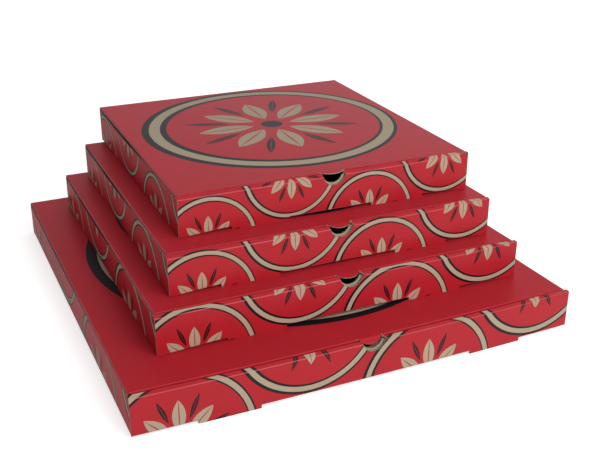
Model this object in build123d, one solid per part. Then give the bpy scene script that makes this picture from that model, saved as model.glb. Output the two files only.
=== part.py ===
from build123d import *
import os
from math import cos, radians, sin

# A stack of four closed boxes, each folded from one printed sheet of corrugated board.
# Millimetres, +Z up, front walls towards -Y, origin under the middle of the bottom box.
# Each box is drawn about the middle of its own underside and then laid in the stack.

# Outer width and depth of each box, from the bottom of the stack up
bottom_width = 482.0
bottom_depth = 490.0
second_width = 405.5
second_depth = 404.5
third_width = 361.5
third_depth = 359.0
top_width = 330.0
top_depth = 332.0

# How each box lies on the one below: shift right and back of the origin, and turn in degrees
bottom_turn = 0.72
second_right = 4.7
second_back = 9.8
second_turn = 0.49
third_right = 7.2
third_back = 16.3
third_turn = 0.21
top_right = 14.7
top_back = 37.1

# Board, and the air that its folded layers keep between them
board = 1.6
ply_gap = 0.3
hinge_gap = 0.2

# Heights: the closed box, its lid above the tray's cut edges, and the lugs below its front fold
box_height = 43.0
lid_rise = 3.0
lug_drop = 2.6

# Tray: the stretch of floor that bends up to the front fold, and the flaps behind front and back wall
floor_bend = 60.0
corner_flap = 42.0
corner_jog = 9.0

# Front wall: its lugs, with locking tabs behind them, each box's corner to a lug's middle, and the notch
lug_width = 62.0
bottom_lug = 93.5
second_lug = 102.0
third_lug = 84.0
top_lug = 86.5
notch_radius = 14.0

# Lid: its set-in from the tray walls, and the flaps that hang from it into the tray
side_gap = 1.5
tuck_gap = 0.6
tuck_depth = 30.0
tuck_lean = 6.0
tuck_taper = 10.0
tuck_corner = 8.0
flap_clearance = 2.0
dust_depth = 34.0
dust_taper = 14.0

# Finger tab: its width at the fold, how far it runs out from there, its droop, and the cut round it
tab_width = 26.0
tab_reach = 9.0
tab_droop = 4.0
tab_gap = 1.0

# Sizes that follow from those
fold_radius = 0.75 * board
wall_top = box_height - lid_rise
back_top = box_height - board - hinge_gap
front_plies = 3 * board + 2 * ply_gap
fold_floor = lug_drop + board
tab_radius = (tab_width**2 / 4 + tab_reach**2) / (2 * tab_reach)
tab_setback = tab_radius - tab_reach
right_and_left = (1, -1)


def slab(x_span, y_span, z_span):
    """A flat panel between two values on each axis."""
    low, high = zip(x_span, y_span, z_span)
    size = [b - a for a, b in zip(low, high)]
    return Pos(*low) * Box(*size, align=Align.MIN)


def mirrored_span(side, inner, outer):
    """The span from inner to outer, on the right side (1) or the left side (-1)."""
    return tuple(sorted((side * inner, side * outer)))


def floor_panel(width, depth, lug_inset):
    """Floor between the walls: flat, then bent up at the front, with a slot behind each lug."""
    front = -depth / 2 + board
    back = depth / 2 - board
    bend = -depth / 2 + floor_bend
    underside = [(front, lug_drop), (bend, 0), (back, 0)]
    upper_side = [(y, z + board) for y, z in reversed(underside)]
    section = Plane.YZ * Polygon(*underside, *upper_side, align=None)
    panel = extrude(section, amount=width / 2 - board, both=True)
    for side in right_and_left:
        slot_x = lug_span(width, lug_inset, side, 0)
        panel -= slab(slot_x, (front, front + board + 2 * ply_gap), (0, fold_floor + board))
    return panel


def lug_span(width, lug_inset, side, clearance):
    """Where a lug lies along the front wall, narrower by the clearance at each end."""
    middle = width / 2 - lug_inset
    reach = lug_width / 2 - clearance
    return mirrored_span(side, middle - reach, middle + reach)


def side_wall(width, depth, side):
    """Side wall folded up from the floor, with a flap folded in at each end of it."""
    outer = width / 2
    front = -depth / 2 + board + ply_gap
    back = depth / 2 - board - ply_gap
    wall = slab(mirrored_span(side, outer - board, outer), (front, back), (0, wall_top))
    fold = wall.edges().filter_by(Axis.Y).group_by(Axis.Z)[0].sort_by(Axis.X)[-1 if side > 0 else 0]
    wall = fillet(fold, fold_radius)
    flap_x = mirrored_span(side, outer - corner_flap, outer)
    wall += slab(flap_x, (front, front + board), (fold_floor + ply_gap, wall_top - board - ply_gap))
    wall += slab(flap_x, (back - board, back), (board + ply_gap, wall_top))
    return wall


def back_wall(width, depth):
    """Back wall folded up from the floor."""
    back = depth / 2
    wall = slab((-width / 2, width / 2), (back - board, back), (0, back_top))
    fold = wall.edges().filter_by(Axis.X).group_by(Axis.Z)[0].sort_by(Axis.Y)[-1]
    return fillet(fold, fold_radius)


def inner_ply_outline(width, depth):
    """Front face of the front wall's inner layer: set back past the corner flaps, close elsewhere."""
    end = width / 2 - board - ply_gap
    flap_end = width / 2 - corner_flap - ply_gap
    close = flap_end - corner_jog
    near = -depth / 2 + board + ply_gap
    far = near + board + ply_gap
    right = [(close, near), (flap_end, far), (end, far)]
    left = [(-x, y) for x, y in reversed(right)]
    return left + right


def front_wall(width, depth, lug_inset):
    """Front wall of two layers: an outer one with lugs, rolled over at the top to an inner one."""
    front = -depth / 2
    outer = slab((-width / 2, width / 2), (front, front + board), (lug_drop, wall_top))
    folds = outer.edges().filter_by(Axis.X).group_by(Axis.Y)[0]
    wall = fillet(folds, fold_radius)

    facing = inner_ply_outline(width, depth)
    rear = [(x, y + board) for x, y in reversed(facing)]
    inner = Polygon(*facing, *rear, align=None)
    end = facing[-1][0]
    rolled = Polygon((-end, front + board), (end, front + board), *rear, align=None)
    inner_low = fold_floor + ply_gap
    wall += Pos(Z=inner_low) * extrude(inner, amount=wall_top - inner_low)
    wall += Pos(Z=wall_top - board) * extrude(rolled, amount=board)

    near = front + board + ply_gap
    for side in right_and_left:
        lug_x = lug_span(width, lug_inset, side, 0)
        wall += slab(lug_x, (front, front + board), (0, fold_floor))
        lock_x = lug_span(width, lug_inset, side, ply_gap)
        wall += slab(lock_x, (near, near + board), (ply_gap, inner_low + board))

    notch = Plane.XZ * Circle(notch_radius)
    notch = Pos(0, front, box_height) * extrude(notch, amount=front_plies, both=True)
    return wall - notch


def tray(width, depth, lug_inset):
    """Floor and the four walls round it."""
    sides = [side_wall(width, depth, side) for side in right_and_left]
    front = front_wall(width, depth, lug_inset)
    return floor_panel(width, depth, lug_inset) + sides + back_wall(width, depth) + front


def lid_half_width(width):
    """Half the width of a lid, which lies between the tray's side walls."""
    return width / 2 - board - side_gap


def lid_fold(depth):
    """Place of the lid's front fold, behind the front wall's layers."""
    return -depth / 2 + front_plies + tuck_gap


def lid_panel(width, depth):
    """Top panel: creased edges at front and sides, and a rounded fold at the back."""
    half = lid_half_width(width)
    hinge_y = depth / 2 - board / 2
    panel = slab((-half, half), (lid_fold(depth), hinge_y), (box_height - board, box_height))
    folds = panel.edges().group_by(Axis.Z)[-1].sort_by(Axis.Y)[:-1]
    panel = fillet(folds, fold_radius)
    knuckle = Rot(Y=90) * Cylinder(board / 2, 2 * half)
    return panel + Pos(0, hinge_y, box_height - board / 2) * knuckle


def tuck_flap(width, depth):
    """Front flap: leans back from the fold into the tray, with the hole that the finger tab leaves."""
    lean = radians(tuck_lean)
    plane = Plane((0, lid_fold(depth), box_height), x_dir=(1, 0, 0), z_dir=(0, cos(lean), sin(lean)))
    top_half = lid_half_width(width) - board - flap_clearance
    low_half = top_half - tuck_taper
    outline = Polygon(
        (-top_half, fold_radius),
        (top_half, fold_radius),
        (low_half, tuck_depth),
        (-low_half, tuck_depth),
        align=None,
    )
    low_corners = outline.vertices().group_by(Axis.Y)[-1]
    outline = fillet(low_corners, tuck_corner)
    hole = Pos(Y=-tab_setback) * Circle(tab_radius + tab_gap)
    return extrude(plane * (outline - hole), amount=board)


def finger_tab(depth):
    """Finger tab: a segment of a circle that runs on from the lid past its front fold over the notch."""
    droop = radians(tab_droop)
    fold = (0, lid_fold(depth) + fold_radius, box_height)
    plane = Plane(fold, x_dir=(1, 0, 0), z_dir=(0, -sin(droop), cos(droop)))
    behind_fold = Pos(Y=tab_radius) * Rectangle(2 * tab_radius, 2 * tab_radius)
    segment = Pos(Y=tab_setback) * Circle(tab_radius) - behind_fold
    return extrude(plane * segment, amount=-board)


def dust_flap(width, depth, side):
    """Side flap: hangs from the lid's edge beside the tray wall, narrower towards its free edge."""
    front = lid_fold(depth) + flap_clearance
    back = depth / 2 - 2 * board - 2 * ply_gap - flap_clearance
    low = box_height - dust_depth
    outline = Polygon(
        (front, box_height - board),
        (front + dust_taper, low),
        (back - dust_taper, low),
        (back, box_height - board),
        align=None,
    )
    outer = lid_half_width(width)
    inner_face = mirrored_span(side, outer - board, outer)[0]
    return extrude(Plane.YZ.offset(inner_face) * outline, amount=board)


def lid(width, depth):
    """Lid panel with its flaps and finger tab."""
    flaps = [dust_flap(width, depth, side) for side in right_and_left]
    return lid_panel(width, depth) + flaps + tuck_flap(width, depth) + finger_tab(depth)


def closed_box(width, depth, lug_inset):
    """A whole box: one sheet, with the lid running on from the back wall."""
    half = lid_half_width(width)
    back = depth / 2
    fold = slab((-half, half), (back - board, back), (back_top, box_height - board / 2))
    return tray(width, depth, lug_inset) + fold + lid(width, depth)


def lay(shape, level, right=0.0, back=0.0, turn=0.0):
    """Lay a shape on as many boxes as its level says."""
    return Pos(right, back, level * box_height) * Rot(Z=turn) * shape


stack = {
    "bottom_box": lay(closed_box(bottom_width, bottom_depth, bottom_lug), 0, turn=bottom_turn),
    "second_box": lay(
        closed_box(second_width, second_depth, second_lug), 1, second_right, second_back, second_turn
    ),
    "third_box": lay(closed_box(third_width, third_depth, third_lug), 2, third_right, third_back, third_turn),
    "top_tray": lay(tray(top_width, top_depth, top_lug), 3, top_right, top_back),
    "top_lid": lay(lid(top_width, top_depth), 3, top_right, top_back),
}

os.makedirs("parts", exist_ok=True)
for name, shape in stack.items():
    export_step(shape, f"parts/{name}.step")
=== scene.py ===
import math
from functools import partial

import bpy
import numpy as np
from bpy.props import FloatProperty, FloatVectorProperty, PointerProperty
from bpy.types import Operator, Panel, PropertyGroup
from mathutils import Matrix, Vector


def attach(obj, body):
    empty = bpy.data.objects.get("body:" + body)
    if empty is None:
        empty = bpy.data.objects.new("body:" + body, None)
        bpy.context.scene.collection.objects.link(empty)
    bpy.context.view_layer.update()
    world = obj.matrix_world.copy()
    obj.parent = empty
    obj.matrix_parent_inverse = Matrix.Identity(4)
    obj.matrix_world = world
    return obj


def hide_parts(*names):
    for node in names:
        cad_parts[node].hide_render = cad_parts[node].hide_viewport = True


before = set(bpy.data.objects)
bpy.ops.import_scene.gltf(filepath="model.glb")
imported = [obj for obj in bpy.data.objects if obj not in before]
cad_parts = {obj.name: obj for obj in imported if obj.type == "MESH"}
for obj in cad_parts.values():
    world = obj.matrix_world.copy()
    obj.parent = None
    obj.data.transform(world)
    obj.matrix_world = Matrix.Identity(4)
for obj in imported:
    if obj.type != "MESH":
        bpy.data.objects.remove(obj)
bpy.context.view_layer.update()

bl_info = {
    "name": "Pizza Box Stack",
    "version": (1, 0, 0),
    "blender": (4, 5, 0),
    "location": "3D View > Sidebar > Box Stack",
    "description": "Builds a stack of folded, printed corrugated boxes over its packed frame",
    "category": "Add Mesh",
}

PHOTO_WIDTH = 591
WHITE = (1.0, 1.0, 1.0, 1.0)

# Material slots of a box, in the order that every sheet uses them
LID_PRINT, FRONT_PRINT, SIDE_PRINT, PLAIN_PRINT, KRAFT, CUT_EDGE = range(6)

# Grid steps and slivers in metres, and the rows of a crease, a wall and a flap
PANEL_STEP = 0.009
FINE_STEP = 0.0012
STEP_WIDTH = 0.00002
LIP_TURN = 0.0003
ARC_POINTS = 7
WALL_ROWS = 7
FLAP_ROWS = 9
TAB_COLUMNS = 41
SHARP_ANGLE = math.radians(40)

# The stack leans back on the bottom box's lugs, about the top box's hinge line
STACK_LEAN = math.radians(0.3843)
HINGE_LINE = np.array((0.0, 0.2023, 0.1712))

# Reach of a front's bow, of its rim's flare, of its rolled edge's slope and of its torn lips, in metres
BOW_REACH = 0.12
FLARE_REACH = 0.072
SLOPE_REACH = 0.045
TORN_REACH = 0.0025

# Shares: slope lost at the right end, setback of the inner layer's top, shift of its notch, the left torn lip
SLOPE_LOSS = 0.9
TOP_SETBACK = 0.85
NOTCH_SHIFT = 0.4
LEFT_TORN = 0.2

# Side walls: where along them the bow is greatest, as powers, and the strip along their top that gets painted
# shade
LEFT_BOW_POWER = 1.8
RIGHT_BOW_POWER = 0.6
TOP_STRIP = (0.94, 0.98)

# Where the painted shade sets in along a wall and along a lid's lip, and the run that it takes, as shares of
# the depth
WALL_PAINTED_SHADE = (0.28, 0.30)
LIP_PAINTED_SHADE = (0.20, 0.35)

# Radii of the hinge's crease and of the lining in it as shares of half a board, and the lining's open ends
HINGE_CREASE = 0.97
HINGE_LINING = 0.985
LINING_OPEN = 0.05

# Crushed board as a share of a crease's radius, and how strongly the front, corner and hinge creases get
# scuffing with a painted highlight
CRUSHED = 0.9
FRONT_SCUFF_HIGHLIGHT = 0.4
CORNER_SCUFF_HIGHLIGHT = 0.7
HINGE_SCUFF_HIGHLIGHT = 0.6

# Petals of the printed rosette: their number, and root, length and half width in ring radii
PETALS = 8
BARE_PETAL = (0.15, 0.45, 0.085)
DARK_PETAL = (0.33, 0.36, 0.032)
ROSETTE_EYE = 0.085
MIDRIB = 0.09

# Bare band and dark line of a ring in ring radii, the line's swell and the inner line's width as shares of it
LID_RING = (0.085, 0.042)
WALL_RING = (0.070, 0.033)
LINE_SWELL = 0.35
INNER_LINE = 0.85

# Friezes in ring radii: place in the repeat and height of each row, the repeats, and the side walls' start
FRIEZE_ROWS = ((0.25, -0.24), (0.75, 1.02))
FRONT_REPEAT = 3.4
SIDE_REPEAT = 4.2
SIDE_START = 0.55

# Grain of the board: mottles and fibres in a metre, and the heights of its ridges and fibres in metres
MOTTLE_SCALE = 38.0
FIBRE_SCALE = 1500.0
RIDGE_HEIGHT = 0.000010
FIBRE_HEIGHT = 0.000030

# Lamps: their width, and the spot that they face
LAMP_SIZE = 1.4
LAMP_AIM = Vector((0.0, 0.0, 0.08))

# The boxes from the bottom up, in metres and degrees: their outer size, how they lie in the stack, and how
# their lugs, notch, finger tab, lid edges, side walls, rolled edge and front sit
LOWER_BOXES = ("bottom_box", "second_box", "third_box")
PLACES = {
    "width": (0.482, 0.4055, 0.3615, 0.330),
    "depth": (0.490, 0.4045, 0.359, 0.332),
    "right": (0.0, 0.0047, 0.0072, 0.0147),
    "back": (0.0, 0.0098, 0.0163, 0.0371),
    "turn": (0.72, 0.49, 0.21, 0.0),
    "lug_inset": (0.0935, 0.102, 0.084, 0.0865),
    "lug_sink": (0.0028, 0.0, 0.0, 0.0),
    "notch_right": (0.0024, 0.0017, 0.0024, 0.0034),
    "tab_reach": (0.0076, 0.0080, 0.0080, 0.0065),
    "tab_droop": (42.0, 11.0, 15.0, 2.0),
    "hole_depth": (0.0125, 0.018, 0.018, 0.018),
    "lid_left": (0.0003, 0.0006, 0.0006, 0.0005),
    "lid_right": (0.0045, 0.0040, 0.0004, 0.0004),
    "left_bow": (-0.0005, -0.0004, -0.0004, -0.0004),
    "left_dip": (0.0021, 0.0016, 0.0020, 0.0020),
    "right_bow": (-0.0014, -0.0014, 0.0, 0.0),
    "roll_rise": (0.0017, 0.0023, 0.0025, 0.0025),
    "rim_flare": (0.0018, 0.0020, 0.0025, 0.0025),
    "ear": (0.0022, 0.0020, 0.0022, 0.0004),
    "front_rise": (0.0001, 0.0026, 0.0026, 0.0026),
    "front_bow": (0.0035, 0.0, 0.0, 0.0),
    "ring_share": (0.45, 0.45, 0.434, 0.45),
}


def length(text, default):
    """A length property in metres."""
    return FloatProperty(description=text, default=default, unit="LENGTH", precision=5)


def number(text, default):
    """A plain number property."""
    return FloatProperty(description=text, default=default)


def tilt(text, degrees):
    """An angle property, given in degrees."""
    return FloatProperty(description=text, default=math.radians(degrees), subtype="ANGLE")


def colour(text, *rgb):
    """A linear colour property."""
    return FloatVectorProperty(description=text, default=rgb, subtype="COLOR", size=3, min=0.0, max=1.0)


class BoardSettings(PropertyGroup):
    """The corrugated board and its creases."""

    thickness: length("Thickness of the board", 0.0016)
    fold: length("Outside radius of a soft crease", 0.00166)
    crease: length("Outside radius of a sharp, crushed crease", 0.0009)
    ply_gap: length("Air between two folded layers", 0.0003)
    flute_pitch: length("Distance from one flute of the board to the next", 0.0033)


class FoldingSettings(PropertyGroup):
    """How each box is cut and folded."""

    height: length("Closed box, underside to lid top", 0.043)
    lid_rise: length("Lid top above the cut edges of the tray", 0.003)
    lug_drop: length("Lugs below the front fold", 0.0026)
    floor_bend: length("Stretch of floor that bends up to the front fold", 0.060)
    corner_flap: length("Flap folded in at each end of a side wall", 0.042)
    corner_jog: length("Run over which the inner front layer closes on the outer one", 0.009)
    lug_width: length("Width of a lug", 0.062)
    notch: length("Radius of the thumb notch", 0.0130)
    notch_lip: length("How far the inner front layer stands into the notch", 0.0016)
    side_gap: length("Air between a lid's side flap and the tray wall", 0.0015)
    lid_inset: length("The lid's edges inside the walls at its back crease", 0.0004)
    lip_gap: length("Air between a lid's side fold and the wall below it", 0.0006)
    tuck_gap: length("Air between the front wall and the lid's front fold", 0.0006)
    tuck_depth: length("Depth of the lid's front flap", 0.030)
    tuck_taper: length("How far the front flap narrows at each end", 0.010)
    tuck_lean: tilt("Lean of the front flap", 6)
    dust_depth: length("Depth of the lid's side flaps", 0.034)
    dust_taper: length("How far a side flap narrows at each end", 0.014)
    dust_lean: tilt("Inward lean of the side flaps", 6)
    flap_clearance: length("Air at the ends of the lid's flaps", 0.002)
    tab_width: length("Width of the finger tab at the fold", 0.026)
    tab_gap: length("Cut round the finger tab", 0.0010)
    lid_swell: length("How far the free top lid swells", 0.0010)
    hinge_gap: length("Air below the top lid's crease", 0.0002)


class PrintSettings(PropertyGroup):
    """Colours and sizes of the print."""

    ink: colour("Ground colour of the print", 0.445, 0.0150, 0.0240)
    black: colour("Dark lines of the print", 0.0075, 0.0050, 0.0060)
    kraft: colour("Bare board", 0.440, 0.360, 0.255)
    # Lighter ink on the creases: cracked ink, and a painted highlight where a fold would catch the light
    scuff_and_highlight: colour("Ink where a crease has cracked it", 0.560, 0.135, 0.150)
    # Painted shade: the dark colour laid under the lids' side folds and along the walls' tops, standing in
    # for their shadow
    painted_shade: colour("Dark line under the lids' side folds", 0.050, 0.006, 0.007)
    sheen: colour("Cold sheen of the lids' print", 0.55, 0.70, 1.0)
    ring_back: number("Lid ring behind the box's middle as a share of its width", 0.034)
    ring_right: number("Lid ring right of the box's middle as a share of its width", 0.018)
    wall_ring: number("Wall ring radius as a share of the box's width", 0.16)


class StageSettings(PropertyGroup):
    """Camera, floor and light."""

    camera_place: FloatVectorProperty(
        description="Where the camera stands", default=(-0.3770, -0.9292, 0.5150), unit="LENGTH"
    )
    azimuth: tilt("Way the camera looks", -23.688)
    elevation: tilt("How steeply it looks down", 24.122)
    roll: tilt("Roll of the picture", 0.099)
    focal_pixels: number("Focal length in pixels of the photograph", 928.7)
    sky: number("Strength of the even light", 0.40)
    sky_lean: number("How much stronger it is to the right, as a share", 0.55)
    key: number("Power of the front light in watts", 20.0)
    fill: number("Power of the light from behind in watts", 2.0)
    floor: colour("Colour of the floor", 0.86, 0.86, 0.86)
    floor_lift: number("Glow of the floor for the camera, under the stack", 0.62)
    floor_far: number("How much it grows with the square of the way from there", 0.03)


class StackSettings(PropertyGroup):
    """All settings of the stack."""

    board: PointerProperty(type=BoardSettings)
    folding: PointerProperty(type=FoldingSettings)
    print: PointerProperty(type=PrintSettings)
    stage: PointerProperty(type=StageSettings)


class BoxForm:
    """Sizes of one box about the middle of its own underside, from its level and the settings."""

    def __init__(self, level, settings, swell=0.0, hinged=False):
        for name, row in PLACES.items():
            setattr(self, name, row[level])
        folding, board = settings.folding, settings.board
        self.level, self.folding = level, folding
        self.board, self.fold, self.crease = board.thickness, board.fold, board.crease
        self.gap, self.pitch = board.ply_gap, board.flute_pitch
        self.height, self.swell, self.hinged = folding.height, swell, hinged
        self.half_width, self.half_depth = self.width / 2, self.depth / 2
        self.wall_top = self.height - folding.lid_rise
        self.lid_half = self.half_width - self.board - folding.side_gap
        self.back_half = self.half_width - folding.lid_inset
        self.hinge = self.height - self.board / 2
        self.lining = self.hinge - self.board - folding.hinge_gap
        self.lip = self.wall_top + folding.lip_gap
        self.lid_front = -self.half_depth + 3 * self.board + 2 * self.gap + folding.tuck_gap
        self.lid_back = self.half_depth - (self.board / 2 if hinged else self.fold)
        self.tab_half = folding.tab_width / 2
        self.tab_radius = (self.tab_half**2 + self.tab_reach**2) / (2 * self.tab_reach)
        self.tab_setback = self.tab_radius - self.tab_reach
        self.cut_half = self.tab_half + folding.tab_gap
        self.lug_middle = self.half_width - self.lug_inset
        self.lug_near = self.lug_middle - folding.lug_width / 2
        self.lug_far = self.lug_middle + folding.lug_width / 2
        self.fold_floor = folding.lug_drop + self.board
        self.lid_ring = self.ring_share * self.width
        self.ring_back = settings.print.ring_back * self.width
        self.ring_right = settings.print.ring_right * self.width
        self.wall_ring = settings.print.wall_ring * self.width

    def wall_uv(self, along, up):
        """The print's coordinates on a wall, in ring radii."""
        return along / self.wall_ring, up / self.wall_ring

    def lug_stops(self, end):
        """Stations across the front, with a sliver at each side of a lug where its edge steps."""
        near, far = self.lug_near, self.lug_far
        right = [near - STEP_WIDTH, near + STEP_WIDTH, far - STEP_WIDTH, far + STEP_WIDTH, end]
        return [-x for x in reversed(right)] + right

    def in_lug(self, x):
        """True where x lies within a lug."""
        return np.abs(np.abs(x) - self.lug_middle) < self.folding.lug_width / 2

    def rise(self, x):
        """Height of the front fold: none at the corners, eased to its own at the lugs."""
        return self.front_rise * ease(self.half_width - np.abs(x), 0.0, self.half_width - self.lug_far)

    def bow(self, points):
        """How far the front bows forward: a parabola across the box, dying away behind its front."""
        across = np.clip(1 - (points[:, 0] / self.half_width) ** 2, 0, 1)
        return self.front_bow * across * (1 - ease(points[:, 1], -self.half_depth, BOW_REACH))

    def rim(self, x):
        """Front fold of the rolled edge: level, and eased up over the last stretch to its right end."""
        return self.wall_top + self.rim_flare * ease(x, self.half_width - FLARE_REACH, FLARE_REACH)

    def roll_slope(self, x):
        """How far the rolled edge rises from its front fold to the lid: less towards its right end."""
        lost = SLOPE_LOSS * ease(x, self.half_width - SLOPE_REACH, SLOPE_REACH)
        return self.roll_rise * (1 - lost)

    def tab_edge(self, x):
        """How far the finger tab runs out from the fold: a segment of a circle."""
        inside = self.tab_radius**2 - (x - self.notch_right) ** 2
        return np.maximum(np.sqrt(np.maximum(inside, 0)) - self.tab_setback, 0)

    def hole_edge(self, x):
        """How far down the front flap the hole below the tab reaches: half an ellipse."""
        inside = 1 - ((x - self.notch_right) / self.cut_half) ** 2
        return self.hole_depth * np.sqrt(np.maximum(inside, 0))

    def notch_radius(self, share):
        """Radius of the thumb notch: share 0 in the outer layer, 1 in the inner one."""
        return self.folding.notch - self.folding.notch_lip * share

    def notch_middle(self, share):
        """Middle of the thumb notch across the front in a layer."""
        return self.notch_right - NOTCH_SHIFT * self.folding.notch_lip * share

    def notch_edge(self, x, share):
        """Lower edge of the thumb notch in a layer: a circle round the lid's level, far above it outside."""
        inside = self.notch_radius(share) ** 2 - (x - self.notch_middle(share)) ** 2
        return np.where(inside > 0, self.height - np.sqrt(np.maximum(inside, 0)), 1.0)

    def notch_half(self, z, share):
        """Half the width of the notch in a layer at a height."""
        return np.sqrt(self.notch_radius(share) ** 2 - (self.height - z) ** 2)

    def inner_layer(self, x, share):
        """Front face of the front wall's inner layer, from its foot (share 0) to its top fold (share 1).

        The foot lies close to the outer layer and behind the corner flaps, and the top fold stands
        back from the outer one by the width of the rolled edge.
        """
        near = -self.half_depth + self.board + self.gap
        run = self.folding.corner_jog
        jog = ease(np.abs(x), self.half_width - self.folding.corner_flap - self.gap - run, run)
        return near + (self.board + self.gap) * np.maximum(jog, TOP_SETBACK * share)


def ease(value, start=0.0, run=1.0):
    """Smooth step from 0 to 1 as a value goes on from the start by the run, level outside."""
    s = np.clip((value - start) / run, 0.0, 1.0)
    return s * s * (3.0 - 2.0 * s)


def stations(stops, step=PANEL_STEP):
    """Values from the first stop to the last: every stop, with even steps of at most `step` between."""
    runs = []
    for low, high in zip(stops, stops[1:]):
        count = max(1, math.ceil((high - low) / step))
        runs.append(np.linspace(low, high, count, endpoint=False))
    return np.append(np.concatenate(runs), stops[-1])


def quarter():
    """Angles of a quarter turn."""
    return np.linspace(0.0, math.pi / 2, ARC_POINTS)


def surface(*grids):
    """Stack grids, or what broadcasts to one, into a grid of points."""
    return np.stack(np.broadcast_arrays(*grids), axis=-1)


def lattice(grid):
    """The four corners of every cell of a grid, in the order that faces rows cross columns."""
    corners = [grid[:-1, :-1], grid[1:, :-1], grid[1:, 1:], grid[:-1, 1:]]
    return np.stack(corners, axis=2).reshape(-1, 4, *grid.shape[2:])


def run_length(points):
    """Distance along a line of points."""
    steps = np.linalg.norm(np.diff(points, axis=0), axis=1)
    return np.append(0.0, np.cumsum(steps))


class Sheet:
    """Closed panels of board, gathered as arrays until they become one mesh."""

    def __init__(self, box):
        self.box = box
        self.points, self.creases, self.flutes = [], [], []
        self.quads, self.uvs, self.slots = [], [], []
        self.count = 0

    def add_faces(self, quads, uvs, slot):
        """Keep faces with their texture coordinates and material slot."""
        self.quads.append(quads)
        self.uvs.append(uvs)
        self.slots.append(np.full(len(quads), slot))

    def panel(self, xyz, uv, slot, flute, crease=0.0, thickness=None):
        """Add a closed panel of board.

        xyz gives a grid of points on the printed side whose rows cross its columns outwards. The
        kraft side lies one board behind it along the grid's normals, worked out from its slopes.
        Four strips of cut edge close it. flute is the coordinate that the flutes cross.
        """
        outer = surface(*xyz)
        normal = np.cross(np.gradient(outer, axis=0), np.gradient(outer, axis=1))
        normal /= np.linalg.norm(normal, axis=-1, keepdims=True)
        inner = outer - normal * (thickness or self.box.board)
        rows, columns = outer.shape[:2]
        front = self.count + np.arange(rows * columns).reshape(rows, columns)
        rear = front + rows * columns
        self.count += 2 * rows * columns
        self.points += [outer.reshape(-1, 3), inner.reshape(-1, 3)]
        # Crease values: above 0 for scuffing with a painted highlight, below 0 for painted shade; the kraft
        # side keeps only the painted shade
        wear_and_painted_light, crossed = (np.broadcast_to(value, (rows, columns)).ravel() for value in (crease, flute))
        self.creases += [wear_and_painted_light, np.minimum(wear_and_painted_light, 0.0)]
        self.flutes += [crossed, crossed]
        uv_grid = surface(*uv, outer[..., 0])[..., :2]
        self.add_faces(lattice(front), lattice(uv_grid), slot)
        self.add_faces(lattice(rear)[:, ::-1], lattice(uv_grid)[:, ::-1], KRAFT)
        for first, second, line in (
            (front[:, -1], rear[:, -1], outer[:, -1]),
            (rear[:, 0], front[:, 0], outer[:, 0]),
            (front[0], rear[0], outer[0]),
            (rear[-1], front[-1], outer[-1]),
        ):
            along = run_length(line) / self.box.pitch
            strip_uv = surface(along[:, None], np.array((0.0, 1.0)))
            self.add_faces(lattice(np.stack((first, second), axis=1)), lattice(strip_uv), CUT_EDGE)

    def pair(self, right, uv, slot, flute, crease=0.0, thickness=None, left=None):
        """Add a panel on the right, and on the left the mirror image of it or of another one.

        The image has x and the print turned over, and its rows reversed so that it faces outwards.
        """
        self.panel(right, uv, slot, flute, crease, thickness)
        grids = np.broadcast_arrays(*(left or right), *uv, flute, crease)
        x, y, z, u, v, flute, crease = (grid[::-1] for grid in grids)
        self.panel((-x, y, z), (-u, v), slot, flute, crease, thickness)

    def mesh(self, name):
        """One mesh in the stack's frame, from the box's points bowed, turned, moved and leant back."""
        box = self.box
        turn = np.array(Matrix.Rotation(math.radians(box.turn), 3, "Z"))
        lean = np.array(Matrix.Rotation(-STACK_LEAN, 3, "X"))
        shift = np.array((box.right, box.back, box.level * box.height))
        points = np.concatenate(self.points)
        points[:, 1] -= box.bow(points)
        points = (points @ turn.T + shift - HINGE_LINE) @ lean.T + HINGE_LINE
        mesh = bpy.data.meshes.new(name)
        mesh.from_pydata(points, [], np.concatenate(self.quads))
        mesh.uv_layers.new(name="Print").uv.foreach_set("vector", np.concatenate(self.uvs).ravel())
        mesh.polygons.foreach_set("material_index", np.concatenate(self.slots).astype(np.int32))
        for label, values in (("crease", self.creases), ("flute", self.flutes)):
            mesh.attributes.new(label, "FLOAT", "POINT").data.foreach_set("value", np.concatenate(values))
        mesh.shade_smooth()
        mesh.set_sharp_from_angle(angle=SHARP_ANGLE)
        mesh.update()
        return mesh


def add_lid_panel(sheet):
    """Lid panel: flat, with a swell that dies away to its edges as a product of two parabolas."""
    box = sheet.box
    edge = box.lid_half - box.fold
    x = stations([-edge, edge])[:, None]
    y = stations([box.lid_front + box.crease, box.lid_back])[None, :]
    middle = (y[0, 0] + y[0, -1]) / 2
    reach = (y[0, -1] - y[0, 0]) / 2
    swell = box.swell * (1 - (x / edge) ** 2) * (1 - ((y - middle) / reach) ** 2)
    uv = ((x - box.ring_right) / box.lid_ring, (y - box.ring_back) / box.lid_ring)
    sheet.panel((x, y, box.height + swell), uv, LID_PRINT, y)


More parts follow.
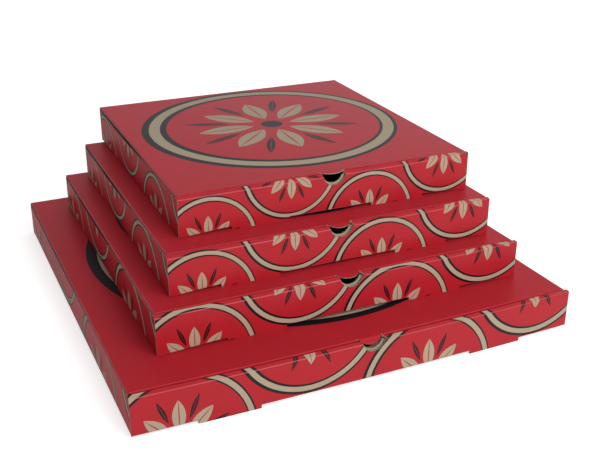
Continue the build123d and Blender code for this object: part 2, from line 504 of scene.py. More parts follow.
def add_lid_sides(sheet):
    """Side flaps: an arc of a quarter turn and the lean from the lid's edge, on down to the wall's edge as
    a lip, and then straight down, tapering. The lower arc and the lip carry painted shade, for the shadow
    under the fold, but for their front end."""
    box, folding = sheet.box, sheet.box.folding
    turn = math.pi / 2 + folding.dust_lean
    angle = np.linspace(0.0, turn, ARC_POINTS)
    arc_x = box.lid_half - box.fold * (1 - np.sin(angle))
    arc_z = box.height - box.fold * (1 - np.cos(angle))
    lip = (arc_z[-1] - box.lip) / math.sin(turn)
    run = stations([lip, lip + LIP_TURN, folding.dust_depth - box.fold])
    x = np.append(arc_x, arc_x[-1] + run * math.cos(turn))[:, None]
    z = np.append(arc_z, arc_z[-1] - run * math.sin(turn))[:, None]
    share = np.append(np.zeros(ARC_POINTS + 1), run[1:] / folding.dust_depth)[:, None]
    on_flap = share > 0
    inset = np.where(on_flap, folding.flap_clearance + share * folding.dust_taper, 0)
    front = box.lid_front + box.crease + inset
    back = np.where(on_flap, box.half_depth - 2 * box.board - 2 * box.gap - inset, box.lid_back)
    along = stations([0.0, 1.0], PANEL_STEP / box.depth)[None, :]
    y = front + along * (back - front)
    # Scuffing and a painted highlight, strongest in the middle of the side fold's arc
    scuff_highlight = np.append(np.sin(angle / turn * math.pi) ** 2, np.zeros(len(run)))[:, None]
    below = np.append(np.clip(angle / turn * 3 - 1.2, 0, 1), run < lip + 2 * LIP_TURN)[:, None]
    # Painted shade on the lower arc and the lip, fading in from the front; scuffing with a painted highlight
    # on the arc's middle
    crease = scuff_highlight * (1 - below) - below * ease(along, *LIP_PAINTED_SHADE)
    sheet.pair((x, y, z), (x, y), PLAIN_PRINT, y, crease)


def add_lid_corners(sheet):
    """Front corners of the lid: an eighth of an egg that runs from the side fold into the front fold."""
    box = sheet.box
    around = quarter()[:, None]
    down = np.linspace(0.08, math.pi / 2, ARC_POINTS)[None, :]
    drop = box.crease + (box.fold - box.crease) * np.cos(around) ** 2
    x = box.lid_half - box.fold * (1 - np.sin(down) * np.cos(around))
    y = box.lid_front + box.crease * (1 - np.sin(down) * np.sin(around))
    z = box.height - drop * (1 - np.cos(down))
    sheet.pair((x, y, z), (x, y), PLAIN_PRINT, y, thickness=0.4 * box.crease)


def add_lid_front(sheet):
    """Front fold on both sides of the finger tab, the tuck flap below it and the tab.

    The fold is an arc of a quarter turn and the flap's lean, and the flap runs on straight from it.
    Its upper edge follows the hole below the tab, and its ends taper to the free edge. The tab is a
    segment of a circle in a plane that droops from the lid.
    """
    box, folding = sheet.box, sheet.box.folding
    middle = box.notch_right
    turn = math.pi / 2 + folding.tuck_lean
    angle = np.linspace(0.0, turn, ARC_POINTS)[:, None]
    arc_y = box.lid_front + box.crease * (1 - np.sin(angle))
    arc_z = box.height - box.crease * (1 - np.cos(angle))
    # Scuffing and a painted highlight along the front fold
    wear_and_painted_light = FRONT_SCUFF_HIGHLIGHT * np.sin(angle / turn * math.pi) ** 2
    edge = box.lid_half - box.fold
    for stops in ((-edge, middle - box.cut_half), (middle + box.cut_half, edge)):
        x = stations(stops)[None, :]
        sheet.panel((x, arc_y, arc_z), (x, arc_y), PLAIN_PRINT, arc_y, wear_and_painted_light, CRUSHED * box.crease)

    top_half = box.lid_half - box.board - folding.flap_clearance
    stops = [-top_half, middle - box.cut_half, middle + box.cut_half, top_half]
    across = stations(stops, FINE_STEP)[None, :]
    start = np.maximum(box.hole_edge(across) - box.crease, 0)
    share = np.linspace(0.0, 1.0, FLAP_ROWS)[:, None]
    reach = folding.tuck_depth - box.crease
    down = start + share * (reach - start)
    flap_x = across * (1 - (down / reach) * folding.tuck_taper / top_half)
    flap_y = arc_y[-1] + down * math.sin(folding.tuck_lean)
    flap_z = arc_z[-1] - down * math.cos(folding.tuck_lean)
    sheet.panel((flap_x, flap_y, flap_z), (flap_x, flap_z), PLAIN_PRINT, flap_z)

    droop = math.radians(box.tab_droop)
    sweep = np.linspace(-math.pi / 2, math.pi / 2, TAB_COLUMNS)[None, :]
    tab_x = middle + 0.99 * box.tab_half * np.sin(sweep)
    forward = share * box.tab_edge(tab_x)
    bend = ease(forward / (2 * box.fold))
    tab_y = box.lid_front + box.crease - forward * (1 - bend * (1 - math.cos(droop)))
    tab_z = box.height - forward * bend * math.sin(droop)
    sheet.panel((tab_x, tab_y, tab_z), (tab_x, tab_y), PLAIN_PRINT, tab_y, thickness=box.board / 2)


def add_rounded(sheet, z, half, start, end, slot, share=1.0):
    """Rounded crease: an arc about a line across the back of the box, a share of half a board in radius."""
    box = sheet.box
    angle = np.linspace(start, end, 2 * ARC_POINTS)[None, :]
    radius = share * box.board / 2
    x = stations([-half, half])[:, None]
    y = box.half_depth - box.board / 2 + radius * np.sin(angle)
    # Scuffing and a painted highlight along the crease
    sheet.panel((x, y, z + radius * np.cos(angle)), (x, 0.0), slot, 0.0, HINGE_SCUFF_HIGHLIGHT, CRUSHED * radius)


def add_hinge_crease(sheet):
    """The lid's back edge, rounded about the hinge line."""
    box = sheet.box
    add_rounded(sheet, box.hinge, box.back_half, 0.0, math.pi, PLAIN_PRINT, HINGE_CREASE)


def add_hinge_lining(sheet):
    """Top of a hinged back wall: rounded, bare in front, with the bare inside of the fold above it."""
    box = sheet.box
    add_rounded(sheet, box.lining, box.half_width, 0.0, math.pi / 2, PLAIN_PRINT)
    add_rounded(sheet, box.lining, box.half_width, -math.pi / 2, 0.0, KRAFT)
    inner_half, open_end = box.back_half - box.fold, LINING_OPEN - math.pi
    add_rounded(sheet, box.hinge, inner_half, open_end, -LINING_OPEN, KRAFT, HINGE_LINING)


def add_back(sheet):
    """Back wall: down from the lid's crease, as wide as the tray below its cut edges, and round to the
    floor. A hinged one starts below its rounded top."""
    box = sheet.box
    angle = quarter()
    low_y = box.half_depth - box.fold * (1 - np.cos(angle))
    low_z = box.fold * (1 - np.sin(angle))
    if box.hinged:
        add_hinge_lining(sheet)
        top = box.lining
        top_y, top_z, narrow = [], [], []
    else:
        top = box.wall_top - STEP_WIDTH
        top_y = np.append(box.half_depth - box.fold * (1 - np.sin(angle)), box.half_depth)
        top_z = np.append(box.height - box.fold * (1 - np.cos(angle)), box.wall_top)
        narrow = np.full(len(top_z), box.back_half)
    wall = stations([box.fold, top])[:0:-1]
    y = np.r_[top_y, np.full(len(wall), box.half_depth), low_y][None, :]
    z = np.r_[top_z, wall, low_z][None, :]
    half = np.r_[narrow, np.full(z.size - len(narrow), box.half_width)][None, :]
    # Scuffing and a painted highlight on the top and low folds
    bent = np.sin(2 * angle)
    wear_and_painted_light = np.r_[np.r_[bent, 0.0][: len(narrow)], np.zeros(len(wall)), bent]
    x = stations([-1.0, 1.0], PANEL_STEP / box.half_width)[:, None] * half
    sheet.panel((x, y, z), box.wall_uv(-x, z), FRONT_PRINT, z, wear_and_painted_light)


def add_floor(sheet):
    """Floor: level, then bent up to the front fold as the square of the way, and cut back behind each lug."""
    box, folding = sheet.box, sheet.box.folding
    x = stations(box.lug_stops(box.half_width - box.fold))[:, None]
    slot = box.board + 2 * box.gap
    front = -box.half_depth + np.where(box.in_lug(x), box.board + slot, box.fold)
    back = box.half_depth - box.fold
    share = stations([0.0, 0.8, 1.0], 0.025)[None, :]
    y = back + share * (front - back)
    bend = -box.half_depth + folding.floor_bend
    up = np.clip((bend - y) / (folding.floor_bend - box.fold), 0, 1) ** 2
    sheet.panel((x, y, box.rise(x) * up), (x, y), PLAIN_PRINT, y)


def front_stations(box, end, share):
    """Stations across a layer of the front wall: its lugs, and closer together over its notch."""
    middle, half = box.notch_middle(share), box.notch_half(box.wall_top - box.crease, share)
    notch = [middle - half, middle + half]
    stops = box.lug_stops(end)
    wide = stations(stops[:5] + notch + stops[5:])
    return np.unique(np.r_[wide, stations(notch, FINE_STEP)])[:, None]


def add_front_outer(sheet):
    """Front wall's outer layer: a plane, stepped down at the lugs and cut by the notch, and its low fold."""
    box = sheet.box
    front = -box.half_depth
    x = front_stations(box, box.half_width, 0.0)
    low = np.where(box.in_lug(x), -box.lug_sink, box.rise(x) + box.fold)
    high = np.minimum(box.rim(x) - box.crease, box.notch_edge(x, 0.0))
    z = low + np.linspace(0.0, 1.0, WALL_ROWS)[None, :] * (high - low)
    sheet.panel((x, front, z), box.wall_uv(x, z), FRONT_PRINT, z)

    angle = quarter()[None, :]
    far, near, end = box.lug_far + STEP_WIDTH, box.lug_near - STEP_WIDTH, box.half_width
    for stops in ((-end, -far), (-near, near), (far, end)):
        x = stations(stops)[:, None]
        y = front + box.fold * (1 - np.sin(angle))
        z = box.rise(x) + box.fold * (1 - np.cos(angle))
        # Scuffing and a painted highlight on the low fold
        sheet.panel((x, y, z), box.wall_uv(x, z), FRONT_PRINT, z, np.sin(2 * angle))


def add_front_inner(sheet):
    """Front wall's rolled edge on both sides of the notch, and the inner layer that hangs from it.

    The roll is a quarter turn up from the outer layer, a run that rises to the lid and a quarter turn
    down to the inner layer. Beside the notch its torn end lifts by a little that dies away.
    """
    box = sheet.box
    front = -box.half_depth
    angle = quarter()
    run = np.linspace(0.0, 1.0, 5)[1:-1]
    level_run = np.zeros(len(run))
    across = stations([0.0, 0.03, 0.06, 1.0], 0.012)[:, None]
    drop = box.crease * np.r_[1 - np.sin(angle), level_run, 1 - np.cos(angle)]
    to_top = np.r_[1 - np.cos(angle), np.ones(len(run) + ARC_POINTS)]
    to_rear = np.r_[np.zeros(ARC_POINTS + len(run)), np.sin(angle)]
    level = np.r_[np.zeros(ARC_POINTS), run, np.ones(ARC_POINTS)]
    # Scuffing and a painted highlight on the roll's two folds
    wear_and_painted_light = np.r_[np.sin(2 * angle) ** 2, level_run, FRONT_SCUFF_HIGHLIGHT * np.sin(2 * angle)]
    half = box.notch_half(box.wall_top + box.roll_rise * level - drop, level)
    for side, torn in ((1, 1.0), (-1, LEFT_TORN)):
        start = box.notch_middle(level) + side * half
        x = start + across * (side * box.half_width - start)
        rear = box.inner_layer(x, 1.0) + box.board
        y = front + box.crease * (to_top + to_rear) + level * (rear - front - 2 * box.crease)
        ear = torn * box.ear * np.exp(-np.abs(x - start) / TORN_REACH) * (1 - to_rear)
        z = box.rim(x) + box.roll_slope(x) * (y - front) / (rear - front) - drop + ear
        path = box.wall_top - drop * (level == 0) + (y - front)
        x, y, z, path = (grid[::side] for grid in (x, y, z, path))
        sheet.panel((x, y, z), box.wall_uv(x, path), FRONT_PRINT, path, wear_and_painted_light, CRUSHED * box.crease)

    x = front_stations(box, box.half_width - box.board - box.gap, 1.0)
    high = np.minimum(box.rim(x) + box.roll_slope(x) - box.crease, box.notch_edge(x, 1.0))
    low = np.where(box.in_lug(x), box.gap, box.fold_floor + box.gap)
    z = low + np.linspace(1.0, 0.0, WALL_ROWS)[None, :] * (high - low)
    y = box.inner_layer(x, z / box.wall_top) + box.board
    sheet.panel((x, y, z), (x, z), PLAIN_PRINT, z)


def add_side_walls(sheet):
    """Side walls: a path round the front flap, the wall and the back flap, carried up from the floor.

    A wall bows towards its free top edge, the left one most behind the middle of its length, where it
    also dips, and the right one most before it. It is cut down under the front wall's rolled edge, and
    its top strip is darkened with painted shade, for the shadow under the lid's side fold, but for the front
    end.
    """
    box = sheet.box
    fold, outer = box.fold, box.half_width
    front = -box.half_depth + box.board + box.gap
    back = box.half_depth - box.board - box.gap
    step = -box.half_depth + 3 * box.board + 3 * box.gap
    wall = stations([front + fold, step - STEP_WIDTH, step + STEP_WIDTH, back - fold])
    flap = stations([outer - box.folding.corner_flap, outer - fold])
    angle = quarter()[1:-1]
    away, off = fold * (1 - np.sin(angle)), fold * (1 - np.cos(angle))
    parts_x = (flap, outer - away, np.full(len(wall), outer), outer - off, flap[::-1])
    parts_y = (np.full(len(flap), front), front + off, wall, back - away, np.full(len(flap), back))
    x, y = np.concatenate(parts_x)[:, None], np.concatenate(parts_y)[:, None]
    kind = np.repeat(np.arange(len(parts_x)), [len(part) for part in parts_x])[:, None]
    on_bend, on_wall = kind % 2 == 1, kind == 2
    low = np.select([on_wall, on_bend], [fold, STEP_WIDTH], box.fold_floor + box.gap)
    high = np.where(y < step, box.wall_top - box.board - box.gap, box.wall_top)
    strip, edge = TOP_STRIP
    share = np.append(np.linspace(0.0, strip, WALL_ROWS), (edge, 1.0))[None, :]
    z = low + share * (high - low)
    along = np.clip((y - front) / (back - front), 0, 1)
    # Painted shade on the wall's top strip, fading in from the front, and scuffing with a painted highlight
    # on the bends
    painted_shade = np.clip((share - strip) / (edge - strip), 0, 1) * ease(along, *WALL_PAINTED_SHADE) * on_wall
    crease = CORNER_SCUFF_HIGHLIGHT * on_bend - painted_shade
    upper = (z / box.wall_top) ** 2 * on_wall
    bow = box.right_bow * np.sin(math.pi * along**RIGHT_BOW_POWER) ** 2 * upper
    swell = np.sin(math.pi * along**LEFT_BOW_POWER) ** 2
    left_z = z - box.left_dip * swell * share * on_wall
    left = (x + box.left_bow * swell * upper, y, left_z)
    u, v = box.wall_uv(y, z)
    sheet.pair((x + bow, y, z), (u + SIDE_START, v), SIDE_PRINT, y, crease, left=left)

    angle = quarter()[None, :]
    y = wall[:, None]
    x = outer - fold * (1 - np.sin(angle))
    z = fold * (1 - np.cos(angle))
    u, v = box.wall_uv(y, z)
    # Scuffing and a painted highlight on the wall's low fold
    sheet.pair((x, y, z), (u + SIDE_START, v), SIDE_PRINT, y, np.sin(2 * angle))


def add_tray(sheet):
    """All panels of a tray."""
    add_floor(sheet)
    add_back(sheet)
    add_side_walls(sheet)
    add_front_outer(sheet)
    add_front_inner(sheet)


def spread_lid(sheet, first, low):
    """Carry the points above a height across, until the lid's two edges lie on lines from their places at
    the back crease to those at the front."""
    box = sheet.box
    front_half = box.half_width - (box.lid_left + box.lid_right) / 2
    shift = (box.lid_left - box.lid_right) / 2
    for points in sheet.points[first:]:
        away = np.clip((box.lid_back - points[:, 1]) / (box.lid_back - box.lid_front), 0, 1)
        wider = (box.back_half + (front_half - box.back_half) * away) / box.lid_half - 1
        above = np.clip(1 + (points[:, 2] - low) / LIP_TURN, 0, 1)
        points[:, 0] += (points[:, 0] * wider + shift * away) * above


def add_lid(sheet):
    """All panels of a lid, spread over the walls. Its side flaps stay between them below the lip."""
    first = len(sheet.points)
    add_lid_panel(sheet)
    add_lid_corners(sheet)
    add_lid_front(sheet)
    spread_lid(sheet, first, 0.0)
    first = len(sheet.points)
    add_lid_sides(sheet)
    spread_lid(sheet, first, sheet.box.lip)


def add_object(name, data):
    """A new object at the origin, linked to the scene."""
    item = bpy.data.objects.new(name, data)
    bpy.context.scene.collection.objects.link(item)
    return item


def place_piece(sheet, name, node, body, materials):
    """Make a sheet an object that stands for its CAD node and moves with its body."""
    piece = add_object(name, sheet.mesh(name))
    for material in materials:
        piece.data.materials.append(material)
    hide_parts(node)
    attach(piece, body)


class Nodes:
    """Adds shader nodes to a tree in short calls, from left to right."""

    def __init__(self, tree):
        self.tree = tree

    def add(self, kind, values=None, **settings):
        """A node with its settings, and its inputs by name or place as numbers or links."""
        node = self.tree.nodes.new(kind)
        for key, value in settings.items():
            setattr(node, key, value)
        self.fill(node, values or {})
        return node

    def fill(self, node, values):
        """Set or link a node's inputs."""
        for key, value in values.items():
            if isinstance(value, bpy.types.NodeSocket):
                self.tree.links.new(value, node.inputs[key])
            else:
                node.inputs[key].default_value = value

    def math(self, operation, *values):
        """Output of a math node."""
        return self.add("ShaderNodeMath", dict(enumerate(values)), operation=operation).outputs[0]

    def blend(self, factor, first, second):
        """Colour that goes from first to second with the factor."""
        return self.add("ShaderNodeMix", {0: factor, 6: first, 7: second}, data_type="RGBA").outputs[2]

    def between(self, value, low, high):
        """1 where the value lies between two limits."""
        above = self.math("GREATER_THAN", value, low)
        below = self.math("LESS_THAN", value, high)
        return self.math("MULTIPLY", above, below)

    def attribute(self, name):
        """A value that a mesh carries at its points."""
        return self.add("ShaderNodeAttribute", attribute_name=name).outputs["Fac"]

    def group(self, name, values):
        """Outputs of a shared node group."""
        return self.add("ShaderNodeGroup", values, node_tree=bpy.data.node_groups[name]).outputs


def new_group(name, inputs, outputs):
    """An empty shader node group with float sockets: its node adder and its two ends."""
    group = bpy.data.node_groups.new(name, "ShaderNodeTree")
    for way, labels in (("INPUT", inputs), ("OUTPUT", outputs)):
        for label in labels:
            group.interface.new_socket(label, in_out=way, socket_type="NodeSocketFloat")
    nodes = Nodes(group)
    return nodes, nodes.add("NodeGroupInput"), nodes.add("NodeGroupOutput")


def petals(nodes, radius, angle, shape):
    """Mask of a ring of petals with midribs: each is narrower than a parabola that closes at root and tip.

    The angle runs from the first petal's axis, and is folded back to the axis that is nearest.
    """
    root, size, half_width = shape
    turn = 2 * math.pi / PETALS
    near = nodes.math("FLOORED_MODULO", nodes.math("ADD", angle, turn / 2), turn)
    near = nodes.math("SUBTRACT", near, turn / 2)
    along = nodes.math("MULTIPLY", radius, nodes.math("COSINE", near))
    away = nodes.math("ABSOLUTE", nodes.math("MULTIPLY", radius, nodes.math("SINE", near)))
    way = nodes.math("MULTIPLY_ADD", along, 2.0 / size, -2.0 * root / size - 1.0)
    belly = nodes.math("SUBTRACT", 1.0, nodes.math("MULTIPLY", way, way))
    edge = nodes.math("MULTIPLY", belly, half_width)
    return nodes.between(away, nodes.math("MULTIPLY", edge, MIDRIB), edge)


def shifted_radius(nodes, x, y, shift):
    """Distance from a middle that lies at minus the shift along x."""
    moved = nodes.math("ADD", x, shift)
    square = nodes.math("ADD", nodes.math("MULTIPLY", moved, moved), nodes.math("MULTIPLY", y, y))
    return nodes.math("SQRT", square)


def medallion_group():
    """A round ornament: a bare band with dark lines that swell to the left, round a rosette of petals.

    X and Y run from the middle in ring radii. Kraft and Black are masks of bare board and dark ink.
    """
    nodes, source, result = new_group("Medallion", ("X", "Y", "Band", "Line"), ("Kraft", "Black"))
    x, y, band, line = (source.outputs[name] for name in ("X", "Y", "Band", "Line"))
    radius = shifted_radius(nodes, x, y, 0.0)
    band_outer = nodes.math("SUBTRACT", 1.0, line)
    band_inner = nodes.math("SUBTRACT", band_outer, band)
    line_inner = nodes.math("SUBTRACT", band_inner, nodes.math("MULTIPLY", line, INNER_LINE))
    ring_kraft = nodes.between(radius, band_inner, band_outer)
    outer_radius = shifted_radius(nodes, x, y, nodes.math("MULTIPLY", line, LINE_SWELL))
    inner_radius = shifted_radius(nodes, x, y, nodes.math("MULTIPLY", line, -LINE_SWELL))
    outside = nodes.math("LESS_THAN", outer_radius, 1.0)
    inside = nodes.math("GREATER_THAN", inner_radius, line_inner)
    ring_black = nodes.math("MULTIPLY", outside, inside)

    angle = nodes.math("ARCTAN2", x, y)
    between = nodes.math("ADD", angle, math.pi / PETALS)
    kraft = nodes.math("MAXIMUM", ring_kraft, petals(nodes, radius, angle, BARE_PETAL))
    black = nodes.math("SUBTRACT", ring_black, ring_kraft)
    black = nodes.math("MAXIMUM", black, petals(nodes, radius, between, DARK_PETAL))
    black = nodes.math("MAXIMUM", black, nodes.math("LESS_THAN", radius, ROSETTE_EYE))
    nodes.fill(result, {"Kraft": kraft, "Black": black})


def board_group():
    """Grain of the board: slow mottle, fine fibres and the faint ridges of its flutes.

    Flute is the coordinate across the ridges in metres. Mottle and Fibre go from 0 to 1, and
    Height is a relief in metres.
    """
    nodes, source, result = new_group("Board Grain", ("Flute", "Pitch"), ("Mottle", "Fibre", "Height"))
    spot = nodes.add("ShaderNodeTexCoord").outputs["Object"]
    mottle, fibre = (
        nodes.add("ShaderNodeTexNoise", {"Vector": spot, "Scale": scale, "Detail": detail}).outputs[0]
        for scale, detail in ((MOTTLE_SCALE, 4.0), (FIBRE_SCALE, 3.0))
    )
    turns = nodes.math("DIVIDE", source.outputs["Flute"], source.outputs["Pitch"])
    ridge = nodes.math("COSINE", nodes.math("MULTIPLY", turns, 2 * math.pi))
    ridge_height = nodes.math("MULTIPLY", ridge, RIDGE_HEIGHT)
    fibre_height = nodes.math("MULTIPLY", fibre, FIBRE_HEIGHT)
    height = nodes.math("ADD", ridge_height, fibre_height)
    nodes.fill(result, {"Mottle": mottle, "Fibre": fibre, "Height": height})


def new_material(name):
    """A material with a Principled shader: its node adder and the shader."""
    material = bpy.data.materials.new(name)
    material.use_nodes = True
    return Nodes(material.node_tree), material.node_tree.nodes["Principled BSDF"]


def grain(nodes, settings):
    """The board's grain on a piece, read along its own flutes: mottle, fibres and height."""
    values = {"Flute": nodes.attribute("flute"), "Pitch": settings.board.flute_pitch}
    outputs = nodes.group("Board Grain", values)
    return outputs["Mottle"], outputs["Fibre"], outputs["Height"]


def dress(nodes, shader, height, relief, values):
    """Fill a shader's inputs, with a bump from a height in metres."""
    bump = nodes.add("ShaderNodeBump", {"Height": height, "Strength": relief, "Distance": 1.0})
    nodes.fill(shader, {**values, "Normal": bump.outputs[0]})


def opaque(rgb, share=1.0):
    """A share of a colour, with full alpha."""
    return (*(share * value for value in rgb), 1.0)


def shaded(nodes, factor, rgb, dark, light):
    """A colour that goes from a dark to a light share of itself with the factor."""
    return nodes.blend(factor, opaque(rgb, dark), opaque(rgb, light))


def add_painted_shade(nodes, tint, settings):
    """A colour with painted shade laid over it where the crease value is below 0."""
    amount = nodes.math("MULTIPLY", nodes.attribute("crease"), -0.95)
    return nodes.blend(amount, tint, opaque(settings.print.painted_shade))


def printed_material(name, settings, masks, rough, gloss, sheen=0.0):
    """Printed side of the board: red ink that is left off in bare bands, dark lines, and creases that get
    lighter cracked ink with a painted highlight where their value is above 0 and painted shade where it is
    below.

    masks adds the nodes of the pattern and gives the masks of bare board and of dark ink, or None.
    """
    colours = settings.print
    nodes, shader = new_material(name)
    mottle, fibre, height = grain(nodes, settings)
    tint = shaded(nodes, mottle, colours.ink, 0.93, 1.07)
    rough = nodes.math("MULTIPLY_ADD", fibre, 0.10, rough)
    if masks is not None:
        bare, dark = masks(nodes)
        tint = nodes.blend(bare, tint, shaded(nodes, fibre, colours.kraft, 0.80, 1.15))
        tint = nodes.blend(dark, tint, opaque(colours.black))
        rough = nodes.math("MULTIPLY_ADD", bare, 0.25, rough)
    # Scuffing and a painted highlight where the crease value is above 0
    patchy = nodes.math("MULTIPLY_ADD", mottle, 0.9, 0.05)
    wear_and_painted_light = nodes.math("MULTIPLY", nodes.attribute("crease"), patchy)
    tint = nodes.blend(wear_and_painted_light, tint, opaque(colours.scuff_and_highlight))
    # Painted shade where the crease value is below 0
    values = {"Base Color": add_painted_shade(nodes, tint, settings), "Roughness": rough, "Specular IOR Level": gloss}
    values |= {"Sheen Weight": sheen, "Sheen Roughness": 0.4, "Sheen Tint": opaque(colours.sheen)}
    dress(nodes, shader, height, 0.35, values)


def print_place(nodes):
    """The print's own coordinates on a panel, in ring radii."""
    uv = nodes.add("ShaderNodeUVMap", uv_map="Print").outputs[0]
    return nodes.add("ShaderNodeSeparateXYZ", {0: uv}).outputs[:2]


def medallion(nodes, x, y, ring):
    """A medallion's masks at a place, from the widths of its band and line."""
    outputs = nodes.group("Medallion", {"X": x, "Y": y, "Band": ring[0], "Line": ring[1]})
    return outputs["Kraft"], outputs["Black"]


def lid_masks(nodes):
    """One large medallion in the middle of the lid."""
    return medallion(nodes, *print_place(nodes), LID_RING)


def frieze(nodes, repeat):
    """A row of medallions along a wall, in turn low and high on it, cut off by its edges."""
    x, y = print_place(nodes)
    rows = []
    for middle, height in FRIEZE_ROWS:
        across = nodes.math("SUBTRACT", x, (middle - 0.5) * repeat)
        across = nodes.math("SUBTRACT", nodes.math("FLOORED_MODULO", across, repeat), repeat / 2)
        rows.append(medallion(nodes, across, nodes.math("SUBTRACT", y, height), WALL_RING))
    return [nodes.math("MAXIMUM", low, high) for low, high in zip(*rows)]


def kraft_material(settings):
    """Bare inside of the board: brown paper with fibres."""
    kraft = settings.print.kraft
    nodes, shader = new_material("bare_kraft")
    mottle, fibre, height = grain(nodes, settings)
    paper = shaded(nodes, fibre, kraft, 0.72, 1.12)
    paper = nodes.blend(nodes.math("MULTIPLY", mottle, 0.3), paper, opaque(kraft, 0.85))
    dress(nodes, shader, height, 0.5, {"Base Color": paper, "Roughness": 0.82})


def edge_material(settings):
    """Cut edge of the board: two liners with a wave of paper between them, painted shade behind it, and
    painted shade where the crease value is below 0.
    """
    kraft = settings.print.kraft
    nodes, shader = new_material("cut_edge")
    x, y = print_place(nodes)
    wave = nodes.math("MULTIPLY_ADD", nodes.math("SINE", nodes.math("MULTIPLY", x, 2 * math.pi)), 0.30, 0.5)
    on_wave = nodes.math("LESS_THAN", nodes.math("ABSOLUTE", nodes.math("SUBTRACT", y, wave)), 0.12)
    liner = nodes.math("GREATER_THAN", nodes.math("ABSOLUTE", nodes.math("SUBTRACT", y, 0.5)), 0.36)
    paper = nodes.math("MAXIMUM", on_wave, liner)
    _, fibre, height = grain(nodes, settings)
    tint = nodes.blend(paper, opaque(kraft, 0.55), shaded(nodes, fibre, kraft, 0.85, 1.25))
    depth = nodes.math("MULTIPLY_ADD", paper, 0.00015, height)
    # Painted shade where the crease value is below 0
    values = {"Base Color": add_painted_shade(nodes, tint, settings), "Roughness": 0.9, "Specular IOR Level": 0.1}
    dress(nodes, shader, depth, 0.4, values)


def box_materials(settings):
    """The materials of a box in slot order, made once."""
    if "Medallion" not in bpy.data.node_groups:
        medallion_group()
        board_group()
        printed_material("lid_print", settings, lid_masks, rough=0.40, gloss=0.06, sheen=0.06)
        front, side = partial(frieze, repeat=FRONT_REPEAT), partial(frieze, repeat=SIDE_REPEAT)
        printed_material("front_print", settings, front, rough=0.26, gloss=0.19)
        printed_material("side_print", settings, side, rough=0.40, gloss=0.04)
        printed_material("plain_print", settings, None, rough=0.40, gloss=0.06, sheen=0.06)
        kraft_material(settings)
        edge_material(settings)
    names = ("lid_print", "front_print", "side_print", "plain_print", "bare_kraft", "cut_edge")
    return [bpy.data.materials[name] for name in names]


class BOXSTACK_OT_lower_boxes(Operator):
    """Build the three closed boxes that carry the top one"""

    bl_idname = "boxstack.lower_boxes"
    bl_label = "Lower Boxes"

    def execute(self, context):
        settings = context.scene.box_stack
        for level, node in enumerate(LOWER_BOXES):
            sheet = Sheet(BoxForm(level, settings))
            add_tray(sheet)
            add_lid(sheet)
            place_piece(sheet, f"{node}_card", node, "stack", box_materials(settings))
        return {"FINISHED"}


class BOXSTACK_OT_top_box(Operator):
    """Build the top box as a tray and a lid that swings on its back crease"""

    bl_idname = "boxstack.top_box"
    bl_label = "Top Box"

    def execute(self, context):
        settings = context.scene.box_stack
        box = BoxForm(len(LOWER_BOXES), settings, swell=settings.folding.lid_swell, hinged=True)
        tray = Sheet(box)
        add_tray(tray)
        place_piece(tray, "top_tray_card", "top_tray", "stack", box_materials(settings))
        lid = Sheet(box)
        add_lid(lid)
        add_hinge_crease(lid)
        place_piece(lid, "top_lid_card", "top_lid", "lid", box_materials(settings))
        return {"FINISHED"}


class BOXSTACK_OT_stage(Operator):
    """Set up the white floor, the light and the camera"""

    bl_idname = "boxstack.stage"
    bl_label = "Stage"

    def execute(self, context):
        stage = context.scene.box_stack.stage
        add_floor_sheet(stage)
        add_light(stage)
        add_camera(stage)
        context.scene.view_settings.view_transform = "Standard"
        return {"FINISHED"}


def camera_ray(nodes):
    """1 for rays that show the background: from the camera, and mirrored or seen through."""
    path = nodes.add("ShaderNodeLightPath").outputs
    seen = nodes.math("MAXIMUM", path["Is Camera Ray"], path["Is Glossy Ray"])
    return nodes.math("MAXIMUM", seen, path["Is Transmission Ray"])


def add_floor_sheet(stage):
    """White floor: a plain grid just under the stack, that keeps its shadow but is lifted to white for the
    camera, by more the farther it is from the stack."""
    line = np.linspace(-4.0, 4.0, 9)
    points = surface(line[:, None], line[None, :], -0.0003)
    index = np.arange(line.size**2).reshape(line.size, line.size)
    mesh = bpy.data.meshes.new("floor")
    mesh.from_pydata(points.reshape(-1, 3), [], lattice(index))
    nodes, shader = new_material("floor_white")
    spot = nodes.add("ShaderNodeTexCoord").outputs["Object"]
    away = nodes.add("ShaderNodeVectorMath", {0: spot}, operation="LENGTH").outputs["Value"]
    square = nodes.math("MULTIPLY", away, away)
    lift = nodes.math("MULTIPLY_ADD", square, stage.floor_far, stage.floor_lift)
    seen = nodes.math("MULTIPLY", camera_ray(nodes), lift)
    nodes.fill(shader, {"Base Color": opaque(stage.floor), "Roughness": 1.0, "Specular IOR Level": 0.0})
    nodes.fill(shader, {"Emission Color": WHITE, "Emission Strength": seen})
    mesh.materials.append(bpy.data.materials["floor_white"])
    add_object("floor", mesh)


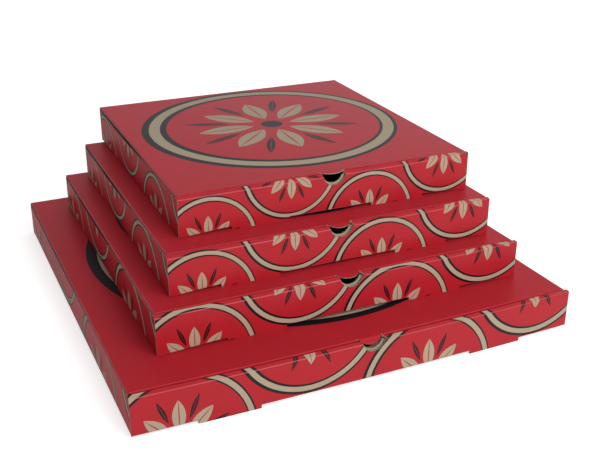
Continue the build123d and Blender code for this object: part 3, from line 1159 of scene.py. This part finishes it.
def add_light(stage):
    """Soft sky, stronger to the right, that the camera sees as white, and large lamps in front and behind."""
    world = bpy.data.worlds.new("sky")
    bpy.context.scene.world = world
    world.use_nodes = True
    nodes = Nodes(world.node_tree)
    way = nodes.add("ShaderNodeSeparateXYZ", {0: nodes.add("ShaderNodeTexCoord").outputs["Generated"]})
    sky = nodes.math("MULTIPLY_ADD", way.outputs["X"], stage.sky_lean * stage.sky, stage.sky)
    strength = nodes.math("MAXIMUM", camera_ray(nodes), sky)
    nodes.fill(world.node_tree.nodes["Background"], {"Color": WHITE, "Strength": strength})

    for name, power, place in (
        ("front_light", stage.key, (0.30, -1.45, 1.10)),
        ("back_light", stage.fill, (1.15, 1.75, 0.95)),
    ):
        lamp = bpy.data.lights.new(name, "AREA")
        lamp.shape = "DISK"
        lamp.size = LAMP_SIZE
        lamp.energy = power
        light = add_object(name, lamp)
        light.location = place
        light.rotation_euler = (LAMP_AIM - light.location).to_track_quat("-Z", "Y").to_euler()


def add_camera(stage):
    """Camera at the photograph's place, looking down along its azimuth and elevation."""
    lens = bpy.data.cameras.new("photo_camera")
    lens.sensor_fit = "HORIZONTAL"
    lens.lens = lens.sensor_width * stage.focal_pixels / PHOTO_WIDTH
    lens.clip_start = 0.01
    turn = (
        Matrix.Rotation(stage.azimuth, 4, "Z")
        @ Matrix.Rotation(math.pi / 2 - stage.elevation, 4, "X")
        @ Matrix.Rotation(stage.roll, 4, "Z")
    )
    camera = add_object("photo_camera", lens)
    camera.matrix_world = Matrix.Translation(stage.camera_place) @ turn
    bpy.context.scene.camera = camera


class BOXSTACK_PT_panel(Panel):
    """Sidebar panel with the steps that build the stack"""

    bl_label = "Box Stack"
    bl_idname = "BOXSTACK_PT_panel"
    bl_space_type = "VIEW_3D"
    bl_region_type = "UI"
    bl_category = "Box Stack"

    def draw(self, context):
        for operator in OPERATORS:
            self.layout.operator(operator.bl_idname)


OPERATORS = (BOXSTACK_OT_lower_boxes, BOXSTACK_OT_top_box, BOXSTACK_OT_stage)
SETTINGS = (BoardSettings, FoldingSettings, PrintSettings, StageSettings, StackSettings)
CLASSES = (*SETTINGS, *OPERATORS, BOXSTACK_PT_panel)


def register():
    """Register the classes and hang the settings on the scene."""
    for cls in CLASSES:
        bpy.utils.register_class(cls)
    bpy.types.Scene.box_stack = PointerProperty(type=StackSettings)


def unregister():
    """Undo register."""
    del bpy.types.Scene.box_stack
    for cls in reversed(CLASSES):
        bpy.utils.unregister_class(cls)


def main():
    """Build every piece in order."""
    register()
    bpy.ops.boxstack.lower_boxes()
    bpy.ops.boxstack.top_box()
    bpy.ops.boxstack.stage()


if __name__ == "__main__":
    main()
